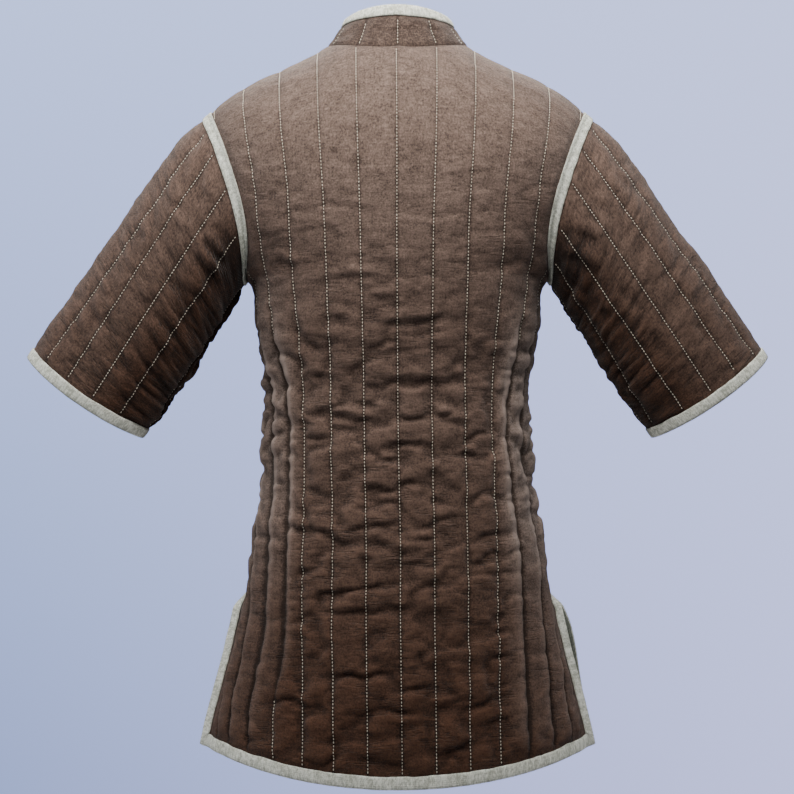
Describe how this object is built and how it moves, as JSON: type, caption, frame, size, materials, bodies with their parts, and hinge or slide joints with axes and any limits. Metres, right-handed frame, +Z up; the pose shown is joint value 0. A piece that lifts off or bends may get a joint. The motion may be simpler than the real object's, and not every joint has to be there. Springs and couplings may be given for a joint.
{
  "type": "gambeson",
  "caption": "Quilted arming coat with stand collar, elbow-length sleeves, bound edges, side slits and a buttoned front opening, filled out as if worn.",
  "frame": {"origin": "middle of the neck opening at the height of the collar seam at the sides of the neck, where the wearer's neck and shoulders hold the coat", "axes": "+X to the wearer's right, +Y to the wearer's front, +Z up; the coat is stored upright as worn, with its sleeves held out from the body"},
  "size_m": [0.9255, 0.3468, 0.9355],
  "materials": {
    "quilted_linen": "matt slubby linen in heathered brown, quilted over wadding with cream thread",
    "binding_tape": "matt woven cream tape, folded and sewn over the edges",
    "button_cloth": "matt cream cloth over a round core",
    "loop_cord": "twisted cream cotton cord"
  },
  "bodies": {
    "root": {"back": "quilted_linen", "front_left": "quilted_linen", "front_right": "quilted_linen", "sleeve_left": "quilted_linen", "sleeve_right": "quilted_linen", "collar": "quilted_linen", "binding_collar": "binding_tape", "binding_back": "binding_tape", "binding_front_left": "binding_tape", "binding_front_right": "binding_tape", "binding_armhole_left": "binding_tape", "binding_armhole_right": "binding_tape", "binding_cuff_left": "binding_tape", "binding_cuff_right": "binding_tape", "slit_tack_left": "binding_tape", "slit_tack_right": "binding_tape", "button_1": "button_cloth", "button_2": "button_cloth", "button_3": "button_cloth", "button_4": "button_cloth", "button_5": "button_cloth", "button_6": "button_cloth", "loop_1": "loop_cord", "loop_2": "loop_cord", "loop_3": "loop_cord", "loop_4": "loop_cord", "loop_5": "loop_cord", "loop_6": "loop_cord"}
  },
  "joints": []
}
